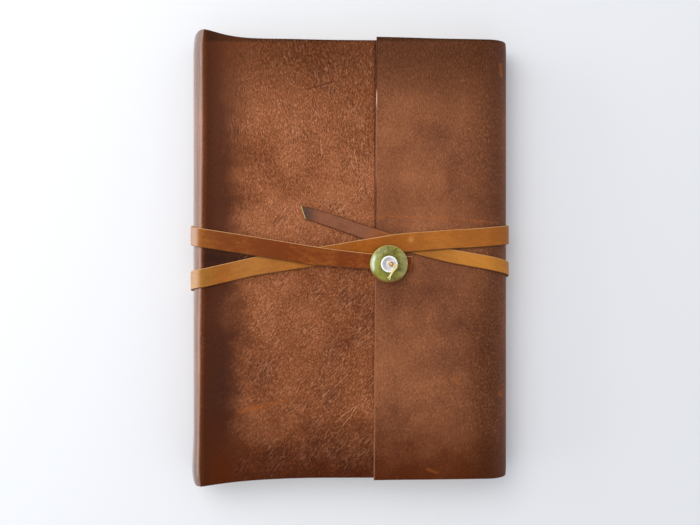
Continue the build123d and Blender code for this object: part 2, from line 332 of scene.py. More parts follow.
# The cover: one hide laid flat, then wrapped from the front panel round the spine, the back and the fold
cover = {
    "thickness": 0.0017,
    "panelTop": 0.0327,  # outer face of the front panel above the table
    "flapTop": 0.0348,
    "panelEdge": 0.0965,  # the front panel's free edge, hidden under the flap
    "flapEdge": 0.0179,
    "underFlap": 0.006,  # how far past the flap's edge the panel's fine columns run
    "flapSlant": 0.0010,  # how far the flap's edge runs out at the head, and in at the tail
    "slantReach": 0.05,
    "spineReach": 0.0100,
    "crestRadius": 0.0024,
    "crestDrift": 0.0020,  # how much nearer to the spine's side the crest is at the tail
    "driftFrom": (-0.12, 0.15),
    "driftEnds": (0.004, 0.016),  # past the crest, along the hide
    "ridgeSlope": 3.6,
    "spineLean": 35.0,
    "spineTrim": 0.0003,  # how much narrower than the solid at the spine
    "flareFrom": -0.102,
    "cornerRadius": 0.0065,
    "cornerMargin": 0.0005,
    "tailBulge": 0.0012,
    "bulgeFrom": (0.12, 0.155),
    "fineStep": 0.0018,
    "coarseStep": 0.006,
    "crestStep": 0.0005,
    "spineStep": 0.0016,
    "footStep": 0.002,
    "unevenEdge": 0.0003,
    "unevenFlapEdge": 0.0002,
    "rows": 168,
    "sag": 0.0003,  # most that the hide dips below its even surface
    "droop": 0.0010,  # how far head and tail hang past the pages
    "droopFrom": 0.002,  # inside the pages' edge
    "droopReach": 0.010,
    "edgeRound": 0.0004,
    "wavePitch": (26, 19),  # of the slow waves, along the hide and up it
    "creaseBox": (-0.07, 0.0, 0.03, 0.11),  # x and -y between which the small creases come in
    "creaseLean": 0.8,
    "creasePitch": (34, 150),
}

# Half the hide's height at the head and at the tail: at the panel's middle, its growth for each metre
# towards the spine, at the spine, how far and how sharply it flares there, at the flap's edge, at the fold
halves = {
    1: {
        "panel": 0.1534, "slope": 0.018, "spine": 0.1609, "reach": 0.015, "power": 1.5,
        "flap": 0.1555, "fold": 0.1535,
    },
    -1: {
        "panel": 0.1541, "slope": 0.0, "spine": 0.1603, "reach": 0.0286, "power": 1.2,
        "flap": 0.1554, "fold": 0.1544,
    },
}


def straight(start, end, lean, step):
    # a straight stretch of the cover's outline seen from the tail, with its outward normal's angle
    length = math.dist(start, end)

    def at(distance):
        share = distance / length
        return blend(start[0], end[0], share), blend(start[1], end[1], share), math.radians(lean)

    return length, at, step


def bend(centre, radius, fromLean, toLean, step):
    length = radius * math.radians(toLean - fromLean)

    def at(distance):
        lean = math.radians(blend(fromLean, toLean, distance / length))
        return centre[0] + radius * math.cos(lean), centre[1] + radius * math.sin(lean), lean

    return length, at, step


backOut = coverLow.z
coverLeft = coverLow.x + cover["spineTrim"]
coverRight = coverHigh.x
crest = (coverLeft + cover["spineReach"], coverHigh.z - cover["crestRadius"])
leanSine = math.sin(math.radians(cover["spineLean"]))
roundRadius = (cover["spineReach"] - cover["crestRadius"] * leanSine) / (1 - leanSine)
roundShift = roundRadius - cover["crestRadius"]
leanCosine = math.cos(math.radians(cover["spineLean"]))
spineRound = (crest[0] + roundShift * leanSine, crest[1] - roundShift * leanCosine)
footRadius = spineRound[1] - backOut
foot = (coverLeft + footRadius, spineRound[1])
foldRadius = (cover["flapTop"] - backOut) / 2
fold = (coverRight - foldRadius, backOut + foldRadius)
slopeAngle = math.radians(cover["ridgeSlope"])
slopeTop = (
    crest[0] + cover["crestRadius"] * math.sin(slopeAngle),
    crest[1] + cover["crestRadius"] * math.cos(slopeAngle),
)
slopeFoot = (slopeTop[0] + (slopeTop[1] - cover["panelTop"]) / math.tan(slopeAngle), cover["panelTop"])

fine, coarse = cover["fineStep"], cover["coarseStep"]
fineFrom = cover["flapEdge"] + cover["underFlap"]
coverStretches = [
    straight((cover["panelEdge"], cover["panelTop"]), (fineFrom, cover["panelTop"]), 90, coarse),
    straight((fineFrom, cover["panelTop"]), slopeFoot, 90, fine),
    straight(slopeFoot, slopeTop, 90 - cover["ridgeSlope"], fine),
    bend(crest, cover["crestRadius"], 90 - cover["ridgeSlope"], 90 + cover["spineLean"], cover["crestStep"]),
    bend(spineRound, roundRadius, 90 + cover["spineLean"], 180, cover["spineStep"]),
    bend(foot, footRadius, 180, 270, cover["footStep"]),
    straight((foot[0], backOut), (fold[0], backOut), 270, coarse),
    bend(fold, foldRadius, 270, 450, fine),
    straight((fold[0], cover["flapTop"]), (cover["flapEdge"], cover["flapTop"]), 90, fine),
]
coverColumns = []
laid = 0.0
for length, at, step in coverStretches:
    count = math.ceil(length / step)
    for index in range(count):
        coverColumns.append((laid + length * index / count, *at(length * index / count)))
    laid += length
coverColumns.append((laid, *at(length)))
hideLength = laid
panelShown = coverStretches[0][0]
slopeFrom = panelShown + coverStretches[1][0]
spineFrom = slopeFrom + coverStretches[2][0]
spineTo = spineFrom + sum(stretch[0] for stretch in coverStretches[3:6])
foldFrom = spineTo + coverStretches[6][0]
flapFrom = foldFrom + coverStretches[7][0]


def coverHalf(laidAt, x, side):
    # half the hide's height at a place along it, at the head (side 1) or the tail (side -1)
    sizes = halves[side]
    if laidAt > foldFrom:
        half = blend(sizes["flap"], sizes["fold"], shareOf(x, cover["flapEdge"], fold[0]))
    else:
        half = sizes["panel"] + sizes["slope"] * max(0.0, cover["flapEdge"] - x)
        away = max(0.0, x - cover["flareFrom"]) / sizes["reach"]
        flare = sizes["spine"] - sizes["panel"] - sizes["slope"] * (cover["flapEdge"] - cover["flareFrom"])
        half += flare * math.exp(-(away ** sizes["power"]))
        corner = cover["cornerRadius"]
        inside = coverLeft - cover["cornerMargin"] + corner - x
        if inside > 0:
            half -= corner - math.sqrt(corner**2 - inside**2)
    return half + cover["unevenEdge"] * noise.noise(Vector((laidAt * 22, side * 5.0, 1.0)))


def hideDip(laidAt, x, y):
    # how far the hide lies below its even surface: slow waves, creases, and head and tail past the pages
    across, upwards = cover["wavePitch"]
    waves = 0.5 + 0.5 * noise.noise(Vector((laidAt * across, y * upwards, 4.0)))
    creased = ease(laidAt, panelShown - 0.01, panelShown + 0.01) * (1 - ease(laidAt, slopeFrom, spineFrom))
    lean, (along, across) = cover["creaseLean"], cover["creasePitch"]
    slant = Vector(((x + lean * y) * along, (y - lean * x) * across, 7.0))
    fromX, toX, fromY, toY = cover["creaseBox"]
    crease = max(0.0, 1 - abs(noise.noise(slant)) * 5) * ease(-y, fromY, toY) * ease(x, fromX, toX)
    dip = cover["sag"] * min(1.0, 0.6 * waves + 0.55 * crease * creased)
    past = max(0.0, abs(y) - pageHigh.y + cover["droopFrom"]) / cover["droopReach"]
    topSide = 1 - ease(laidAt, spineFrom, spineTo) + ease(laidAt, foldFrom, flapFrom)
    return dip + cover["droop"] * topSide * past**2


def placeOnHide(column, row):
    laidAt, x, z, lean = coverColumns[column]
    share = 1 - 2 * row / cover["rows"]
    side = 1 if share > 0 else -1
    y = share * coverHalf(laidAt, x, side)
    if laidAt > flapFrom:
        near = 1 - ease(x, cover["flapEdge"], cover["flapEdge"] + cover["slantReach"])
        uneven = cover["unevenFlapEdge"] * noise.noise(Vector((y * 30, 2.0, 0.0)))
        x += near * (cover["flapSlant"] * y / halves[1]["flap"] + uneven)
    dip = hideDip(laidAt, x, y)
    drift = ease(laidAt, slopeFrom, spineFrom) * (1 - ease(laidAt - spineFrom, *cover["driftEnds"]))
    x -= cover["crestDrift"] * drift * ease(-y, *cover["driftFrom"])
    if spineFrom < laidAt < spineTo:
        bulge = math.sin(math.pi * (laidAt - spineFrom) / (spineTo - spineFrom))
        dip -= cover["tailBulge"] * ease(-y, *cover["bulgeFrom"]) * bulge
    return Vector((x - dip * math.cos(lean), y, z - dip * math.sin(lean))), (-laidAt, y)


def makeCover(grain, flesh, cutEdge):
    piece = layGrid("wrapped_hide", len(coverColumns) - 1, cover["rows"], placeOnHide)
    dress(piece, grain, flesh, cutEdge)
    thicken(piece, -1, cover["thickness"], cover["edgeRound"])
    standFor(piece, "leather_cover")


# The strap: one strip wound twice round the album
strap = {
    "thickness": 0.0018,
    "layGap": 0.0001,
    "wide": 0.0133,
    "waist": 0.0109,
    "tail": 0.0098,
    "tipSkew": 0.0032,
    "onPanel": 0.0328,
    "onFlap": 0.0349,
    "onCrest": 0.0351,
    "feet": (0.0182, -0.0180, -0.0102),  # y of both runs under the back cover, and of the tail run there
    "step": 0.0012,
    "across": 10,
    "soften": 3,
    "edgeRound": 0.0005,
    "crown": 0.00012,
    "scuffAt": (0.0428, 0.0131),
    "scuffReach": 0.0020,
}
strapLayer = strap["thickness"] + strap["layGap"]
wide, waist, tail = strap["wide"], strap["waist"], strap["tail"]
onPanel, onFlap, onCrest = strap["onPanel"], strap["onFlap"], strap["onCrest"]
crestX, foldX = crest[0], fold[0]
discMiddle = (discLow + discHigh) / 2

# Cuts through the strap over the front: x, middle, width, level under it, and where they aren't 0 the lift
# of its lower and its upper edge in strap layers, and how far the upper edge runs ahead
anchoredCuts = [
    (0.04410, -0.0039, waist, onFlap),
    (0.0318, -0.0037, waist, onFlap),
    (0.0274, -0.0035, waist, onFlap, 0.4, 0.4),
    (0.0214, -0.0031, waist, onFlap, 1.15, 1.15),
    (0.0179, -0.0024, waist, onFlap, 1.2, 1.2),
    (0.0149, -0.0020, waist, onFlap, 1.05, 1.05),
    (0.0088, -0.0014, 0.0111, onPanel, 1.75, 1.75),
    (0.0049, -0.0011, 0.0113, onPanel, 1.3, 1.3),
    (-0.0120, 0.0005, 0.0121, onPanel, 1.0, 1.0),
    (-0.0276, 0.0022, wide, onPanel, 1.0, 1.0),
    (-0.0600, 0.0076, wide, onPanel, 1.0, 1.0),
    (crestX, 0.0142, wide, onCrest),
]
middleCuts = [
    (foldX, 0.0150, wide, onFlap),
    (0.0839, 0.0141, wide, onFlap),
    (0.0759, 0.0136, wide, onFlap, 0.5),
    (0.0699, 0.0132, wide, onFlap, 1.02, 0.2),
    (0.0599, 0.0125, wide, onFlap, 1.15, 0.55),
    (0.0499, 0.0118, wide, onFlap, 1.15, 0.9),
    (0.0419, 0.0113, wide, onFlap, 1.05, 1.05),
    (0.0359, 0.0108, wide, onFlap, 0.98, 1.4),
    (0.0299, 0.0102, wide, onFlap, 0.7, 1.75),
    (0.0259, 0.0095, wide, onFlap, 0.35, 1.8),
    (0.0214, 0.0088, wide, onFlap, 0.0, 1.65),
    (0.0179, 0.0082, wide, onFlap, 0.0, 1.4),
    (0.0149, 0.0077, wide, onPanel, 0.9, 2.05),
    (0.0088, 0.0066, wide, onPanel, 0.35, 1.4),
    (0.0049, 0.0060, wide, onPanel, 0.0, 0.5),
    (-0.0120, 0.0030, wide, onPanel),
    (slopeFoot[0], -0.0053, wide, onPanel),
    (crestX, -0.0137, wide, onCrest),
]
tailCuts = [
    (foldX, -0.0028, tail, onFlap),
    (0.0699, 0.00185, tail, onFlap),
    (0.0499, 0.0067, tail, onFlap),
    (0.0299, 0.0125, tail, onFlap),
    (0.0178, 0.0163, tail, onFlap),
    (0.0049, 0.0203, tail, onPanel),
    (-0.0099, 0.0256, tail, onPanel),
    (-0.0251, 0.0304, 0.0092, onPanel),
    (-0.0327, 0.0323, 0.0091, onPanel, 0.0, 0.0, strap["tipSkew"]),
]


def runStations(cuts):
    # lower and upper edge of the strap's underside, and its normal, along a run over the front
    cuts = [(*cut, 0.0, 0.0, 0.0)[:7] for cut in cuts]
    rough = []
    for first, second in zip(cuts, cuts[1:]):
        count = math.ceil(abs(first[0] - second[0]) / strap["step"])
        rough += [[blend(a, b, index / count) for a, b in zip(first, second)] for index in range(count)]
    rough.append(list(cuts[-1]))
    for _ in range(strap["soften"]):
        neighbours = zip(rough, rough[1:], rough[2:])
        middle = [[(a + 2 * b + c) / 4 for a, b, c in zip(*three)] for three in neighbours]
        rough = [rough[0], *middle, rough[-1]]
    stations = []
    for x, middle, width, level, lowLift, highLift, skew in rough:
        low = Vector((x + skew / 2, middle - width / 2, level + lowLift * strapLayer))
        high = Vector((x - skew / 2, middle + width / 2, level + highLift * strapLayer))
        stations.append((low, high, Vector((0, 0, 1))))
    return stations


def bendStations(stretches, topMiddle, footMiddle, wideHere):
    # the same round the spine or the fold, aslant where it leaves the front and square to it at the back
    stations = []
    total = sum(radius * math.radians(toLean - fromLean) for _, radius, fromLean, toLean in stretches)
    travelled = 0.0
    for centre, radius, fromLean, toLean in stretches:
        arc = radius * math.radians(toLean - fromLean)
        count = math.ceil(arc / strap["step"])
        for index in range(count + 1):
            lean = math.radians(blend(fromLean, toLean, index / count))
            normal = Vector((math.cos(lean), 0, math.sin(lean)))
            point = Vector((centre[0], 0, centre[1])) + normal * (radius + strap["layGap"])
            share = (travelled + arc * index / count) / total
            if fromLean == 270:  # the fold's bend starts at the back
                share = 1 - share
            middle = blend(topMiddle, footMiddle, math.sin(share * math.pi / 2))
            toLow, toHigh = Vector((0, middle - wideHere / 2, 0)), Vector((0, middle + wideHere / 2, 0))
            stations.append((point + toLow, point + toHigh, normal))
        travelled += arc
    return stations


spineBends = [
    (crest, cover["crestRadius"], 90, 90 + cover["spineLean"]),
    (spineRound, roundRadius, 90 + cover["spineLean"], 180),
    (foot, footRadius, 180, 270),
]
foldBends = [(fold, foldRadius, 270, 450)]

# The whole strap in legs, from its sewn end to its tip
upperFoot, lowerFoot, tailFoot = strap["feet"]
strapLegs = [
    runStations(anchoredCuts),
    bendStations(spineBends, anchoredCuts[-1][1], upperFoot, wide),
    bendStations(foldBends, middleCuts[0][1], upperFoot, wide),
    runStations(middleCuts),
    bendStations(spineBends, middleCuts[-1][1], lowerFoot, wide),
    bendStations(foldBends, tailCuts[0][1], tailFoot, tail),
    runStations(tailCuts),
]
route = []
lengths = [0.0]
legStarts = []
for leg in strapLegs:
    legStarts.append(lengths[-1])
    for station in leg:
        if route:
            moved = ((station[0] + station[1]) - (route[-1][0] + route[-1][1])).length / 2
            if moved < strap["step"] / 4:
                continue
            lengths.append(lengths[-1] + moved)
        route.append(station)
strapLength = lengths[-1]


def makeStrap(grain, flesh, cutEdge):
    def place(column, row):
        low, high, normal = route[column]
        share = row / strap["across"]
        width = (high - low).length
        crown = strap["crown"] * (4 * share * (1 - share) - 1)
        return low.lerp(high, share) + normal * crown, (lengths[column], (share - 0.5) * width)

    piece = layGrid("wound_strap", len(route) - 1, strap["across"], place)
    piece.data.flip_normals()  # the route starts towards the spine, which turns the grid upside down
    dress(piece, grain, flesh, cutEdge)
    thicken(piece, 1, strap["thickness"], strap["edgeRound"])
    standFor(piece, "strap")
    print("Strap length in metres:", round(strapLength, 3))


# The button stack: a glazed disc, a dished shirt button and a glass bead
disc = {
    "sides": 72,
    "rimRound": 0.0016,
    "footRound": 0.0011,
    "table": 0.0062,
    "domeRise": 0.0009,
    "domeShares": (0.5, 0.32, 0.18),
    "lumps": 0.00022,
    "lumpPitches": (130, 320),
    # painted highlight: where the crescent on the left of the rim lies
    "highlightAt": 0.0112,
    # where the glaze's shades and its painted sheen begin and where they are full, from the disc's middle
    "limeSide": (0.0020, 0.0115),
    "duskySide": (-0.002, 0.008),
    "sheenSide": (0.0060, 0.0105),
    "leftSide": (0.0062, 0.0090),
    "lowSide": (0.0045, 0.0105),
    "rim": (0.0121, 0.0130),
    "lowRim": (0.0108, 0.0125),
}
shell = {
    "sides": 64,
    "edgeRound": 0.0005,
    "rimWidth": 0.0011,
    "dish": 0.0010,
    "bossRadius": 0.0024,
    "bossRise": 0.00035,
    "bossShift": 0.0007,
    "valleyShadowAt": 0.0031,
}
bead = {"turn": -35.0, "hole": 0.00045, "squash": 0.94, "glintShift": (-0.0004, 0.0002, 0.0)}
smallGap = 1e-5  # within which a corner counts as being at a level or a radius


def select(piece, kind, test):
    # selects only the faces or edges that pass a test on their corners
    mesh = piece.data
    for group in (mesh.vertices, mesh.edges, mesh.polygons):
        group.foreach_set("select", [False] * len(group))
    for item in mesh.polygons if kind == "FACE" else mesh.edges:
        if test([mesh.vertices[index].co for index in item.vertices]):
            item.select = True
            for index in item.vertices:
                mesh.vertices[index].select = True
    bpy.context.scene.tool_settings.mesh_select_mode = (False, kind == "EDGE", kind == "FACE")
    pick(piece)
    bpy.ops.object.mode_set(mode="EDIT")


def roundRim(piece, radius, level, width, segments):
    # rounds the ring of edges at a radius and a level
    def onRing(corners):
        return all(max(abs(c.xy.length - radius), abs(c.z - level)) < smallGap for c in corners)

    select(piece, "EDGE", onRing)
    bpy.ops.mesh.bevel(offset=width, segments=segments, profile=0.5, affect="EDGES")
    bpy.ops.object.mode_set(mode="OBJECT")


def insetTop(piece, level, steps):
    # insets the round face at a level again and again, each time by a width and a rise
    def onTop(corners):
        return len(corners) > 8 and all(abs(c.z - level) < smallGap for c in corners)

    select(piece, "FACE", onTop)
    for width, rise in steps:
        bpy.ops.mesh.inset(thickness=width, depth=rise)
    bpy.ops.object.mode_set(mode="OBJECT")


def addRound(name, sides, radius, height):
    # a plain round block with its foot at the origin
    deselectAll()
    bpy.ops.mesh.primitive_cylinder_add(vertices=sides, radius=radius, depth=height)
    piece = nameActive(name)
    piece.data.transform(Matrix.Translation((0, 0, height / 2)))
    return piece


def makeDisc(glaze):
    radius = (discHigh.x - discLow.x) / 2
    body = discHigh.z - discLow.z - disc["domeRise"]
    piece = addRound("glazed_disc", disc["sides"], radius, body)
    roundRim(piece, radius, body, disc["rimRound"], 4)
    roundRim(piece, radius, 0.0, disc["footRound"], 3)
    band = (radius - disc["rimRound"] - disc["table"]) / 3
    insetTop(piece, body, [(band, disc["domeRise"] * share) for share in disc["domeShares"]])
    finishWith(piece, "SUBSURF", levels=2, render_levels=2)
    lumpPitch, dentPitch = disc["lumpPitches"]
    for vertex in piece.data.vertices:  # a hand-pressed disc isn't quite round or even
        side = vertex.co.normalized()
        lump = noise.noise(vertex.co * lumpPitch) + 0.5 * noise.noise(vertex.co * dentPitch)
        vertex.co += side * disc["lumps"] * (lump - 0.6) * ease(vertex.co.z, 0.0, body / 2)
    piece.data.transform(Matrix.Translation((discMiddle.x, discMiddle.y, discLow.z)))
    smoothShade(piece, 60)
    dress(piece, glaze)
    standFor(piece, "ceramic_button")


def makeShell(shellWhite):
    radius = (shellHigh.x - shellLow.x) / 2
    height = shellHigh.z - shellLow.z
    middle = (shellLow + shellHigh) / 2
    piece = addRound("shirt_button", shell["sides"], radius, height)
    edge, boss = shell["edgeRound"], shell["bossRadius"]
    roundRim(piece, radius, height, edge, 3)
    roundRim(piece, radius, 0.0, edge, 2)
    floorFrom = radius - edge - shell["rimWidth"]
    steps = [
        (shell["rimWidth"] - edge, 0.0),
        (0.0002, -0.0002),
        (0.0004, 0.0003 - shell["dish"]),
        (0.0002, -0.0001),
        (floorFrom - boss - 0.0007, 0.0),
        (0.0002, 0.0001),
        (0.0003, shell["bossRise"]),
        (0.0002, 0.00005),
    ]
    insetTop(piece, height, steps)
    for vertex in piece.data.vertices:  # the boss sits a little off the middle
        off = 1 - ease(vertex.co.xy.length, boss, floorFrom)
        vertex.co.x += shell["bossShift"] * off * ease(vertex.co.z, height / 3, height / 2.9)
    finishWith(piece, "SUBSURF", levels=2, render_levels=2)
    piece.data.transform(Matrix.Translation((middle.x, middle.y, shellLow.z)))
    smoothShade(piece, 50)
    dress(piece, shellWhite)
    standFor(piece, "shell_button")


def makeBead(amber):
    middle = (beadLow + beadHigh) / 2
    radius = (beadHigh.z - beadLow.z) / 2
    deselectAll()
    bpy.ops.mesh.primitive_uv_sphere_add(segments=32, ring_count=24, radius=radius)
    piece = nameActive("amber_bead")
    select(piece, "FACE", lambda corners: all(c.xy.length < bead["hole"] for c in corners))
    bpy.ops.mesh.delete(type="FACE")
    bpy.ops.object.mode_set(mode="OBJECT")

    def onHole(corners):
        return all(abs(c.z) > radius * 0.9 and c.xy.length < bead["hole"] for c in corners)

    select(piece, "EDGE", onHole)
    bpy.ops.mesh.bridge_edge_loops()
    bpy.ops.object.mode_set(mode="OBJECT")
    turn = Matrix.Rotation(math.radians(bead["turn"]), 4, "Z") @ Matrix.Rotation(math.radians(90), 4, "Y")
    piece.data.transform(Matrix.Translation(middle) @ turn @ Matrix.Diagonal((1, 1, bead["squash"], 1)))
    finishWith(piece, "SUBSURF", levels=1, render_levels=1)
    smoothShade(piece, 60)
    dress(piece, amber)
    standFor(piece, "glass_bead")


# The sewing thread: up through the leather and the buttons, through the bead, then two loose ends
thread = {
    "plyRadius": 0.00023,
    "plyShift": 0.00019,
    "twist": 0.0013,  # length of one turn
    "step": 0.00018,
    "sides": 3,
    "longEnd": [
        (0.02666, -0.00247, 0.0332),
        (0.02666, -0.00247, 0.0400),
        (0.02660, -0.00240, 0.0452),
        (0.02690, -0.00265, 0.0464),
        (0.02870, -0.00390, 0.0464),
        (0.03060, -0.00523, 0.0464),
        (0.03050, -0.00640, 0.0465),
        (0.02960, -0.00800, 0.0464),
        (0.02890, -0.00960, 0.0461),
        (0.02830, -0.01090, 0.0446),
        (0.02770, -0.01200, 0.04375),
        (0.02690, -0.01310, 0.04350),
        (0.02620, -0.01380, 0.04345),
    ],
    "loopEnd": [
        (0.02870, -0.00390, 0.0464),
        (0.03060, -0.00510, 0.0464),
        (0.03230, -0.00420, 0.0463),
        (0.03280, -0.00540, 0.0461),
        (0.03190, -0.00700, 0.0462),
        (0.03060, -0.00830, 0.0463),
        (0.02955, -0.00960, 0.0462),
        (0.02880, -0.01110, 0.0447),
        (0.02810, -0.01250, 0.04380),
        (0.02790, -0.01380, 0.04340),
        (0.02750, -0.01450, 0.04325),
    ],
}


def startCurve(name, kind, points):
    data = bpy.data.curves.new(name, "CURVE")
    data.dimensions = "3D"
    spline = data.splines.new(kind)
    spline.points.add(len(points) - 1)
    for point, place in zip(spline.points, points):
        point.co = (*place, 1)
    return data, spline


def smoothRoute(points):
    # points along the NURBS curve of a given route
    data, spline = startCurve("route", "NURBS", points)
    spline.order_u = 3
    spline.use_endpoint_u = True
    spline.resolution_u = 12
    line = bpy.data.objects.new("route", data)
    mesh = bpy.data.meshes.new_from_object(line)
    places = [vertex.co.copy() for vertex in mesh.vertices]
    bpy.data.objects.remove(line)
    bpy.data.meshes.remove(mesh)
    return places


def evenSteps(places, step):
    even = [places[0]]
    spare = 0.0
    for first, second in zip(places, places[1:]):
        length = (second - first).length
        travelled = step - spare
        while travelled <= length:
            even.append(first.lerp(second, travelled / length))
            travelled += step
        spare = length - (travelled - step)
    return even


def makePly(centres, start):
    # one of the two plies that are twisted into a thread
    places = []
    across = Vector((1, 0, 0))
    for index, centre in enumerate(centres):
        ahead = centres[min(index + 1, len(centres) - 1)] - centres[max(index - 1, 0)]
        ahead.normalize()
        across = (across - ahead * across.dot(ahead)).normalized()
        side = ahead.cross(across)
        angle = start + 2 * math.pi * index * thread["step"] / thread["twist"]
        places.append(centre + (across * math.cos(angle) + side * math.sin(angle)) * thread["plyShift"])
    data, _ = startCurve("ply", "POLY", places)
    data.bevel_depth = thread["plyRadius"]
    data.bevel_resolution = thread["sides"]
    data.use_fill_caps = True
    return addObject("ply", data)


def makeThread(waxed):
    plies = []
    for end in ("longEnd", "loopEnd"):
        centres = evenSteps(smoothRoute(thread[end]), thread["step"])
        plies += [makePly(centres, 0.0), makePly(centres, math.pi)]
    pick(*plies)
    bpy.ops.object.convert(target="MESH")
    piece = joinPieces("waxed_thread", plies)
    smoothShade(piece, 60)
    dress(piece, waxed)
    standFor(piece, "sewing_thread")


# The pages: card leaves folded and nested into sections, with their round backs against the lining
pages = {
    "sections": 12,
    "nested": 4,
    "thickness": 0.00023,
    "flatHeight": 0.026,  # of the stack away from the spine
    "lining": 0.0025,  # from the cover's outer face to the backs of the sections
    "backSteps": 8,
    "uneven": 0.00018,
    "foldInset": 0.6,  # of a leaf's thickness, from the section's outside
    "seed": 12,
}


def backPlace(height, nose):
    # where a section's round back has its middle
    centre, radius = (spineRound, roundRadius) if height > spineRound[1] else (foot, footRadius)
    reach = radius - pages["lining"] - nose
    return centre[0] - math.sqrt(max(0.0, reach**2 - (height - spineRound[1]) ** 2))


def makePages(paper):
    random.seed(pages["seed"])
    spineHeight = pageHigh.z - pageLow.z
    slopeFootX = slopeFoot[0]
    pitch = spineHeight / pages["sections"]
    sheets = []
    for section in range(pages["sections"]):
        middle = (section + 0.5) * pitch
        backX = backPlace(pageLow.z + middle, pitch / 2)
        for nest in range(pages["nested"]):
            gap = pitch / 2 * (1 - nest / pages["nested"]) - pages["thickness"] * pages["foldInset"]
            reach = pageHigh.x - random.uniform(0, pages["uneven"])
            half = pageHigh.y - random.uniform(0, pages["uneven"])
            shift = random.uniform(-0.5, 0.5) * pages["uneven"]
            low, high = middle - gap, middle + gap
            leaf = [(reach, low), (slopeFootX, low), (crestX, low)]
            for index in range(pages["backSteps"] + 1):
                angle = math.radians(270 - 180 * index / pages["backSteps"])
                leaf.append((backX + gap * math.cos(angle), middle + gap * math.sin(angle)))
            leaf += [(crestX, high), (slopeFootX, high), (reach, high)]

            def place(column, row):
                x, z = leaf[column]
                stack = blend(spineHeight, pages["flatHeight"], shareOf(x, crestX, slopeFootX))
                y = (row - 0.5) * 2 * half + shift
                return Vector((x, y, pageLow.z + z * stack / spineHeight)), (column * 0.01, y)

            sheets.append(layGrid("leaf", len(leaf) - 1, 1, place))
    piece = joinPieces("card_leaves", sheets)
    finishWith(piece, "SOLIDIFY", thickness=pages["thickness"], offset=0)
    smoothShade(piece, 40)
    dress(piece, paper)
    standFor(piece, "page_block")


# Creases of the front panel and the flap: from, to, and how deep
creases = [
    ((-0.0483, -0.1137), (-0.0314, -0.1004), 0.6),
    ((-0.0354, -0.0881), (-0.0249, -0.0797), 0.5),
    ((-0.0203, -0.0978), (-0.0004, -0.0822), 1.0),
    ((-0.0151, -0.1057), (-0.0053, -0.0913), 0.7),
    ((-0.0125, -0.1288), (-0.0081, -0.1211), 0.7),
    ((-0.0081, -0.1211), (0.0070, -0.1029), 1.0),
    ((-0.0095, -0.1148), (0.0044, -0.1043), 0.9),
    ((-0.0054, -0.1499), (-0.0004, -0.1433), 0.8),
    ((-0.0004, -0.1433), (0.0167, -0.1316), 0.8),
    ((-0.0614, -0.1419), (-0.0555, -0.1316), 0.7),
    ((-0.0555, -0.1316), (-0.0495, -0.1251), 0.6),
    ((-0.0541, -0.1499), (-0.0489, -0.1433), 0.8),
    ((-0.0463, -0.1380), (-0.0457, -0.1324), 0.7),
    ((-0.0397, 0.1528), (-0.0379, 0.1384), 0.7),
    ((-0.0422, 0.1299), (-0.0388, 0.1231), 0.8),
    ((-0.0553, 0.1137), (-0.0524, 0.1086), 1.0),
    ((-0.0012, 0.1495), (-0.0022, 0.1299), 0.7),
    ((-0.0022, 0.1299), (-0.0141, 0.1094), 0.6),
    ((0.0072, 0.1478), (-0.0067, 0.1239), 0.5),
    ((-0.0260, 0.1113), (-0.0218, 0.0994), 0.7),
    ((-0.0201, 0.0848), (-0.0193, 0.0713), 1.1),
    ((0.0029, 0.0848), (0.0046, 0.0661), 0.9),
    ((-0.0627, 0.0899), (-0.0594, 0.0790), 0.7),
    ((-0.0703, 0.1470), (-0.0660, 0.1323), 0.5),
]


# Marks on the hide in plan, and a painted shadow: from, to, half width and strength
marks = {
    "scratches": [
        ((-0.0310, 0.1185), (-0.0107, 0.1244), 0.0006, 1.0),
        ((-0.0270, -0.0256), (-0.0165, -0.0250), 0.0005, 0.8),
    ],
    "longRubs": [
        ((0.0182, 0.0298), (0.0640, 0.0280), 0.0014, 0.7),
        ((0.0640, 0.0280), (0.1050, 0.0250), 0.0014, 0.55),
    ],
    "shortRubs": [
        ((0.1064, 0.1365), (0.1070, 0.1290), 0.0022, 0.6),
        ((0.0738, -0.0850), (0.0752, -0.0862), 0.0030, 0.5),
        ((0.1056, -0.0945), (0.1065, -0.0960), 0.0026, 0.6),
        ((0.0545, -0.1475), (0.0610, -0.1500), 0.0018, 0.4),
    ],
    "warmStreak": [((-0.0780, -0.1078), (-0.0450, -0.1000), 0.0030, 1.0)],
    "paleScuff": [((-0.0158, -0.0055), (-0.0158, -0.0125), 0.0006, 0.3)],
    # painted shadow where the strap crosses the panel by the spine
    "strapShadow": [((-0.1030, 0.0002), (-0.0600, -0.0010), 0.0115, 1.0)],
}

# The hide's patterns, in repeats for each metre, and what shines on it
hide = {
    "pebbles": {"turns": (6.0, -34.0), "stretch": 1.8, "scale": 640.0},
    "grain": {"turns": (6.0, -34.0), "stretch": 3.0, "scale": 1500.0, "detail": 2.0, "rough": 0.65},
    "wrinkles": {"turns": (7.0, -38.0), "stretch": 8.5, "scale": 880.0, "detail": 1.2, "rough": 0.5},
    "poreScale": 820.0,
    "creaseWidth": 0.0016,
    "spineStreaks": (1100.0, 26.0, 1.0),
    "bumpDepth": 0.00085,
    "specular": 0.07,
    "coatRoughness": 0.16,
    "edgeStretch": 3.0,  # brings y along the flap's edge into a ramp's 0 to 1
}

# Where the hide's zones begin and where they are full, in plan
zones = {
    "lower": (0.02, 0.12),
    "lowHalf": (-0.13, 0.03),
    "spine": (-0.092, -0.064),
    "tail": (-0.156, -0.096),
    "head": (0.088, 0.150),
    "headEdge": (0.1512, 0.1534),
    "rightRim": (0.088, 0.104),
    "besideRim": (0.0940, 0.0170),  # middle and half width
}
